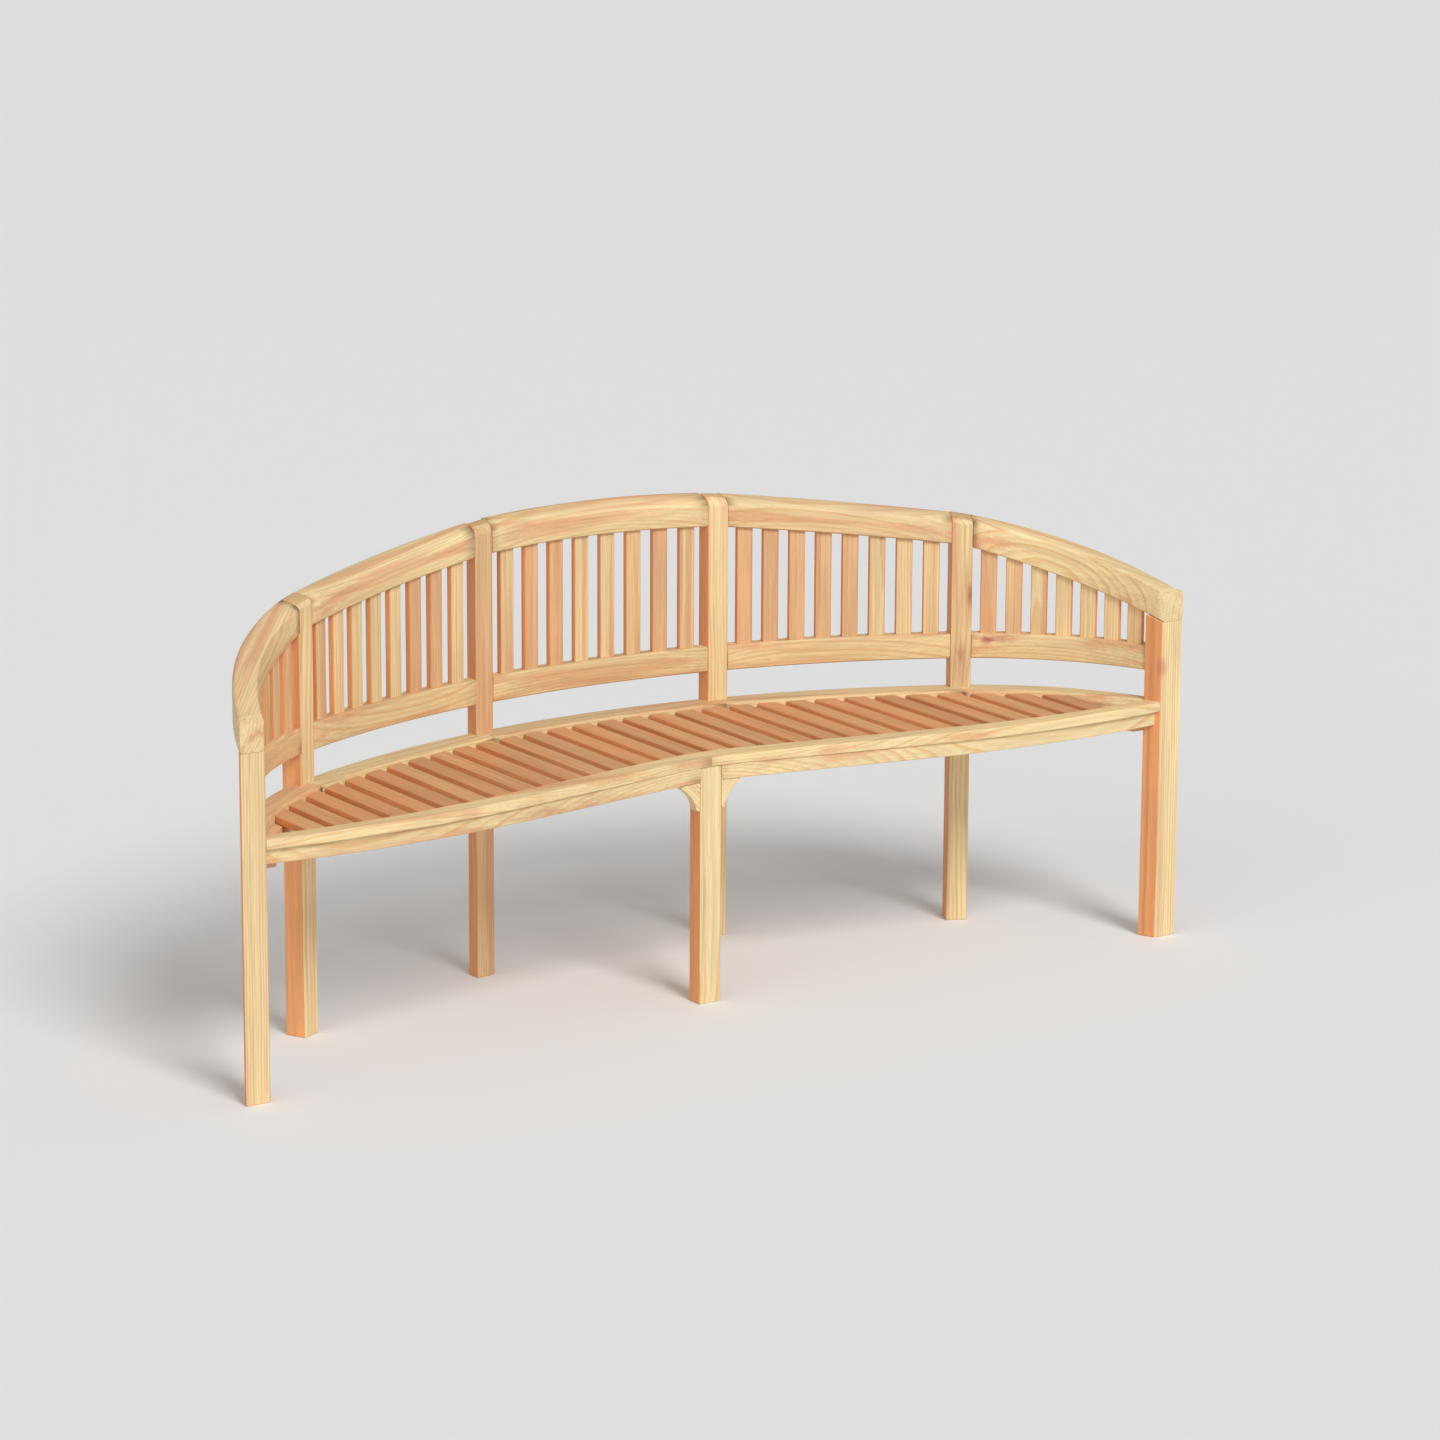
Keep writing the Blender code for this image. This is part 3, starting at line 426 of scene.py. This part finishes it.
def copy_of(node):
    """The node's solid as a bmesh, with its triangles joined up again into flat faces."""
    shape = bmesh.new()
    shape.from_mesh(solids[node].data)
    bmesh.ops.remove_doubles(shape, verts=shape.verts, dist=MERGE_GAP)
    bmesh.ops.dissolve_limit(
        shape, angle_limit=FLAT_ANGLE, use_dissolve_boundaries=False,
        verts=shape.verts, edges=shape.edges, delimit=set(),
    )
    return shape


def islands(shape):
    """Groups of vertices that hang together."""
    left = set(shape.verts)
    groups = []
    for start in shape.verts:
        if start not in left:
            continue
        left.discard(start)
        group = [start]
        for vertex in group:
            for edge in vertex.link_edges:
                other = edge.other_vert(vertex)
                if other in left:
                    left.discard(other)
                    group.append(other)
        groups.append(group)
    return groups


def slice_apart(shape, point, normal):
    """Cuts the shape into separate boards at a plane and closes the cuts, without removing anything."""
    cut = bmesh.ops.bisect_plane(
        shape, geom=shape.verts[:] + shape.edges[:] + shape.faces[:], dist=CUT_GAP,
        plane_co=point, plane_no=normal,
    )
    edges = [item for item in cut["geom_cut"] if isinstance(item, bmesh.types.BMEdge)]
    bmesh.ops.split_edges(shape, edges=edges)
    rims = [edge for edge in shape.edges if edge.is_boundary]
    bmesh.ops.holes_fill(shape, edges=rims, sides=0)


def board_sides(shape, top):
    """Where each board whose upper face lies at a height starts and ends along the bench."""
    sides = []
    for face in shape.faces:
        if face.normal.z > LEVEL and abs(face.calc_center_median().z - top) < HAIR:
            reach = [vertex.co.x for vertex in face.verts]
            sides += [min(reach) - SEAT_SLAT_EASE - HAIR, max(reach) + SEAT_SLAT_EASE + HAIR]
    return sides


def chord(group):
    """Direction from the leftmost to the rightmost end of a curved board."""
    places = sorted((vertex.co.copy() for vertex in group), key=lambda place: place.x)
    share = max(1, len(places) // CHORD_SHARE)
    first = sum(places[:share], Vector()) / share
    last = sum(places[-share:], Vector()) / share
    return (last - first).normalized()


def no_shaded_sides(faces):
    """For a board whose narrow faces get no painted shade and look like its broad ones."""
    return set()


def post_shaded_sides(faces):
    """The faces of a post that look along the bench, which get painted shade."""
    return {face for face in faces if abs(face.normal.x) > abs(face.normal.y)}


def slat_shaded_sides(faces):
    """The upright faces of a slat, apart from its two broad ones, which get painted shade."""
    upright = [face for face in faces if abs(face.normal.z) < UPRIGHT]
    return set(sorted(upright, key=lambda face: face.calc_area())[:-2])


def seat_shaded_sides(faces):
    """The sides of a seat slat, which get painted shade."""
    return {face for face in faces if abs(face.normal.x) > SIDEWAYS}


def lay_grain(shape, name, direction, seed, shaded_sides=no_shaded_sides):
    """Gives every board its own stretch of grain and its own tone, and marks its ends, and its narrow faces
    for painted shade.
    """
    place = shape.verts.layers.float_vector.new(PLACE)
    tone = shape.verts.layers.float_vector.new(TONE)
    end = shape.faces.layers.float.new(END)
    side_shade = shape.faces.layers.float.new(SIDE_SHADE)
    for index, group in enumerate(islands(shape)):
        luck = random.Random(f"{name} {seed} {index}")
        along = chord(group) if direction is None else direction
        side = UP if abs(along.z) < STEEP else ALONG_Y
        across = along.cross(side).normalized()
        turn = Matrix((along, across, along.cross(across)))
        middle = sum((vertex.co for vertex in group), Vector()) / len(group)
        offset = Vector((
            luck.uniform(-GRAIN_START, GRAIN_START),
            luck.choice((-1.0, 1.0)) * luck.uniform(HEART_NEAR, HEART_FAR),
            luck.choice((-1.0, 1.0)) * luck.uniform(HEART_NEAR, HEART_FAR),
        ))
        look = Vector((luck.random(), luck.random(), luck.random()))
        faces = set()
        for vertex in group:
            vertex[place] = turn @ (vertex.co - middle) + offset
            vertex[tone] = look
            faces.update(vertex.link_faces)
        for face in faces:
            face[end] = 1.0 if abs(face.normal.dot(along)) > SAWN_END else 0.0
            face[side_shade] = 0.0
        for face in shaded_sides(faces):
            face[side_shade] = 1.0


def dress(node, shape, material):
    """Makes the finished piece that stands for a solid."""
    shape_settings = settings()[1]
    mesh = bpy.data.meshes.new(node + "_wood")
    shape.to_mesh(mesh)
    shape.free()
    mesh.shade_smooth()
    mesh.set_sharp_from_angle(angle=shape_settings.sharp_angle)
    piece = bpy.data.objects.new(node + "_wood", mesh)
    bpy.context.scene.collection.objects.link(piece)
    mesh.materials.append(material)
    weighted = piece.modifiers.new("flat_faces", "WEIGHTED_NORMAL")
    weighted.keep_sharp = True
    weighted.weight = 50
    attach(piece, BODY)
    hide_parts(node)


def dress_boards(nodes, material, direction, seed, shaded_sides=no_shaded_sides):
    """Makes the finished pieces of solids that are one board each."""
    for node in nodes:
        shape = copy_of(node)
        lay_grain(shape, node, direction, seed, shaded_sides)
        dress(node, shape, material)


def names(start):
    """The nodes whose names start alike, in order."""
    return sorted(name for name in solids if name.startswith(start))


class BENCH_OT_posts(bpy.types.Operator):
    """Dresses the seven posts, whose grain runs upright"""

    bl_idname = "bench.posts"
    bl_label = "Posts"

    def execute(self, context):
        material = hardwood("post_hardwood", spots=POST_STAINS)
        posts = names("end_post") + names("back_post") + names("front_leg")
        dress_boards(posts, material, UP, POST_SEED, post_shaded_sides)
        return {"FINISHED"}


class BENCH_OT_rails(bpy.types.Operator):
    """Dresses the curved rails, sawn from straight boards, with the grain along their chords"""

    bl_idname = "bench.rails"
    bl_label = "Rails"

    def execute(self, context):
        material = hardwood("rail_hardwood", lightness=0.99, spots=RAIL_STAINS)
        rails = names("top_rail") + names("lower_rail") + names("seat_back_rail")
        dress_boards(rails, material, None, RAIL_SEED)
        return {"FINISHED"}


class BENCH_OT_seat_front(bpy.types.Operator):
    """Dresses the front boards, the rails under them, the brackets and the bearer"""

    bl_idname = "bench.seat_front"
    bl_label = "Seat front"

    def execute(self, context):
        material = hardwood("front_hardwood")
        dress_boards(names("seat_front"), material, ALONG_X, FRONT_SEED)
        for node in names("corner_bracket"):
            low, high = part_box(node)
            outward = math.copysign(1.0, low.x + high.x)
            slanting = Vector((outward, 0.0, 1.0)).normalized()
            dress_boards([node], material, slanting, BRACKET_SEED)
        dress_boards(names("seat_bearer"), material, ALONG_Y, BEARER_SEED)
        return {"FINISHED"}


class BENCH_OT_back_slats(bpy.types.Operator):
    """Dresses the upright slats of the back"""

    bl_idname = "bench.back_slats"
    bl_label = "Back slats"

    def execute(self, context):
        material = hardwood("back_slat_hardwood", lightness=0.98, warmth=0.06)
        for node in names("back_slats"):
            shape = copy_of(node)
            rail_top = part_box(node.replace("back_slats", "lower_rail"))[1].z
            slice_apart(shape, Vector((0.0, 0.0, rail_top + HAIR)), UP)
            lay_grain(shape, node, UP, BACK_SLAT_SEED, slat_shaded_sides)
            dress(node, shape, material)
        return {"FINISHED"}


class BENCH_OT_seat_slats(bpy.types.Operator):
    """Dresses the slats of the seat, darker and more orange with painted shade"""

    bl_idname = "bench.seat_slats"
    bl_label = "Seat slats"

    def execute(self, context):
        # Painted shade: the seat slats are darker and more orange all over, as wood in shade
        material = hardwood("seat_slat_hardwood_painted_shade", lightness=0.88, warmth=0.45, shade_share=0.42)
        for node in names("seat_slats"):
            shape = copy_of(node)
            for x in board_sides(shape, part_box(node)[1].z):
                slice_apart(shape, Vector((x, 0.0, 0.0)), ALONG_X)
            lay_grain(shape, node, ALONG_Y, SEAT_SLAT_SEED, seat_shaded_sides)
            dress(node, shape, material)
        return {"FINISHED"}


# Stage

def floor_material(colour):
    """A plain matt finish."""
    material = bpy.data.materials.new("studio_floor")
    material.use_nodes = True
    shader = material.node_tree.nodes["Principled BSDF"]
    shader.inputs["Base Color"].default_value = (*colour, 1.0)
    shader.inputs["Roughness"].default_value = FLOOR_ROUGHNESS
    return material


def soft_sun(name, towards_lamp, strength, spread):
    """A distant lamp as wide as a soft box, so that it lights the whole floor evenly."""
    lamp = bpy.data.lights.new(name, "SUN")
    lamp.energy = strength
    lamp.angle = spread
    item = bpy.data.objects.new(name, lamp)
    item.location = towards_lamp * LAMP_DISTANCE
    item.rotation_euler = (-towards_lamp).to_track_quat("-Z", "Y").to_euler()
    bpy.context.scene.collection.objects.link(item)


class BENCH_OT_stage(bpy.types.Operator):
    """Sets the floor, the light and the camera"""

    bl_idname = "bench.stage"
    bl_label = "Stage"

    def execute(self, context):
        stage = settings()[2]
        scene = context.scene
        shape = bmesh.new()
        bmesh.ops.create_grid(shape, x_segments=1, y_segments=1, size=FLOOR_REACH)
        mesh = bpy.data.meshes.new("floor")
        shape.to_mesh(mesh)
        shape.free()
        mesh.materials.append(floor_material(stage.floor))
        floor = bpy.data.objects.new("floor", mesh)
        scene.collection.objects.link(floor)

        soft_sun("key", KEY_FROM, stage.key, KEY_SPREAD)
        soft_sun("fill", FILL_FROM, stage.fill, FILL_SPREAD)
        world = bpy.data.worlds.new("studio")
        world.use_nodes = True
        scene.world = world
        background = world.node_tree.nodes["Background"]
        background.inputs["Color"].default_value = (1.0, 1.0, 1.0, 1.0)
        background.inputs["Strength"].default_value = stage.sky

        camera = bpy.data.cameras.new("camera")
        camera.lens = stage.lens
        camera.sensor_width = FILM_WIDTH
        camera.sensor_fit = "HORIZONTAL"
        item = bpy.data.objects.new("camera", camera)
        aim = Euler((math.radians(90.0) - CAMERA_PITCH, 0.0, -CAMERA_AZIMUTH)).to_matrix()
        turn = aim @ Matrix.Rotation(CAMERA_ROLL, 3, "Z")
        item.matrix_world = Matrix.Translation(CAMERA_PLACE) @ turn.to_4x4()
        scene.collection.objects.link(item)
        scene.camera = item
        scene.view_settings.view_transform = "Standard"
        return {"FINISHED"}


class BENCH_PT_panel(bpy.types.Panel):
    """Lists the settings and the operators."""

    bl_label = "Curved bench"
    bl_idname = "BENCH_PT_panel"
    bl_space_type = "VIEW_3D"
    bl_region_type = "UI"
    bl_category = "Bench"

    def draw(self, context):
        layout = self.layout
        for group in settings():
            for name in group.bl_rna.properties.keys():
                if name not in ("rna_type", "name"):
                    layout.prop(group, name)
        for operator in OPERATORS:
            layout.operator(operator.bl_idname)


OPERATORS = (
    BENCH_OT_posts, BENCH_OT_rails, BENCH_OT_seat_front, BENCH_OT_back_slats, BENCH_OT_seat_slats,
    BENCH_OT_stage,
)
CLASSES = (WoodSettings, ShapeSettings, StageSettings, *OPERATORS, BENCH_PT_panel)


def register():
    for item in CLASSES:
        bpy.utils.register_class(item)
    bpy.types.Scene.bench_wood = PointerProperty(type=WoodSettings)
    bpy.types.Scene.bench_shape = PointerProperty(type=ShapeSettings)
    bpy.types.Scene.bench_stage = PointerProperty(type=StageSettings)


def unregister():
    del bpy.types.Scene.bench_wood
    del bpy.types.Scene.bench_shape
    del bpy.types.Scene.bench_stage
    for item in reversed(CLASSES):
        bpy.utils.unregister_class(item)


def main():
    """Dresses the bench and sets the stage."""
    register()
    bpy.ops.bench.posts()
    bpy.ops.bench.rails()
    bpy.ops.bench.seat_front()
    bpy.ops.bench.back_slats()
    bpy.ops.bench.seat_slats()
    bpy.ops.bench.stage()


if __name__ == "__main__":
    main()
